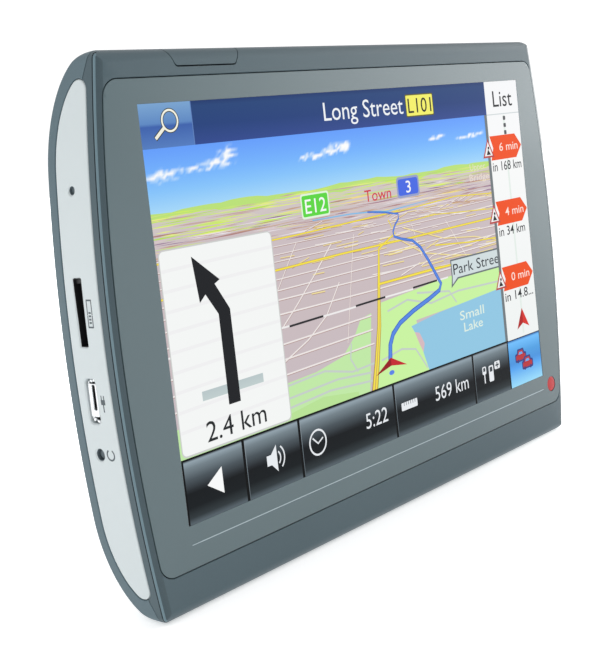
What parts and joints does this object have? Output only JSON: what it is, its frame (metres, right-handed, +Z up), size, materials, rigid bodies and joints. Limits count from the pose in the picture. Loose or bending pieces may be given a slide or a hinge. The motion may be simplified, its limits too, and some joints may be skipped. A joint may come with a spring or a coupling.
{
  "type": "portable gps navigator",
  "caption": "Slim portable navigator with a wide touch display, curved ends with inlaid light side caps, a top key and side sockets.",
  "frame": {"origin": "centre of the whole object's box", "axes": "+X along the display to its right as seen by the user, +Z up, the display faces -Y"},
  "size_m": [0.1554, 0.0146, 0.1052],
  "materials": {
    "bezel_plastic": "satin",
    "housing_plastic": "satin",
    "cap_plastic": "satin",
    "panel_gloss": "glossy",
    "foam": "matt",
    "bright_strip": "satin",
    "red_dot": "glossy",
    "display_glass": "glossy",
    "light_guide": "satin",
    "sheet_steel": "satin",
    "screw_steel": "bright",
    "brass": "satin",
    "black_screw": "satin",
    "circuit_board": "satin",
    "tin_plate": "satin",
    "chip_black": "matt",
    "connector_plastic": "matt",
    "ribbon_film": "satin",
    "socket_steel": "satin",
    "black_plastic": "matt",
    "gold_contact": "bright",
    "rubber": "matt",
    "button_plastic": "matt",
    "pouch_foil": "satin",
    "red_wire": "satin",
    "cone_paper": "matt",
    "magnet": "satin",
    "mesh_black": "matt",
    "blue_wire": "satin",
    "ceramic": "matt",
    "black_wire": "satin"
  },
  "bodies": {
    "case": {"front_housing": "bezel_plastic", "rear_shell": "housing_plastic", "left_side_cap": "cap_plastic", "right_side_cap": "cap_plastic", "touch_panel": "panel_gloss", "panel_gasket": "foam", "accent_strip": "bright_strip", "badge_dot": "red_dot", "lcd_cell": "display_glass", "backlight": "light_guide", "lcd_frame": "sheet_steel", "chassis": "sheet_steel", "chassis_screws": "screw_steel", "standoffs": "brass", "housing_screws": "black_screw", "main_board": "circuit_board", "board_screws": "screw_steel", "processor_shield": "tin_plate", "processor": "chip_black", "memory_chips": "chip_black", "radio_shield": "tin_plate", "radio_chip": "chip_black", "power_parts": "chip_black", "display_connector": "connector_plastic", "touch_connector": "connector_plastic", "display_ribbon": "ribbon_film", "touch_ribbon": "ribbon_film", "usb_shell": "socket_steel", "usb_tongue": "black_plastic", "card_socket": "socket_steel", "card_contacts": "gold_contact", "microphone": "tin_plate", "microphone_boot": "rubber", "power_switch": "tin_plate", "reset_switch": "tin_plate", "battery_pack": "pouch_foil", "battery_pad": "foam", "battery_connector": "connector_plastic", "battery_lead": "red_wire", "speaker_frame": "black_plastic", "speaker_cone": "cone_paper", "speaker_magnet": "magnet", "speaker_gasket": "foam", "speaker_mesh": "mesh_black", "speaker_lead": "blue_wire", "gps_antenna": "ceramic", "antenna_board": "circuit_board", "antenna_lead": "black_wire"},
    "power_button": {"power_key": "bezel_plastic", "power_plunger": "connector_plastic"},
    "reset_pin": {"reset_button": "button_plastic", "reset_plunger": "connector_plastic"}
  },
  "joints": [
    {"name": "power_press", "type": "slide", "parent": "case", "child": "power_button", "axis": [0, 0, -1], "range_m": [0, 0.00025], "stiffness_N_per_m": 4000, "springref_m": -0.0001},
    {"name": "reset_press", "type": "slide", "parent": "case", "child": "reset_pin", "axis": [1, 0, 0], "range_m": [0, 0.00025], "stiffness_N_per_m": 4000, "springref_m": -0.0001}
  ]
}
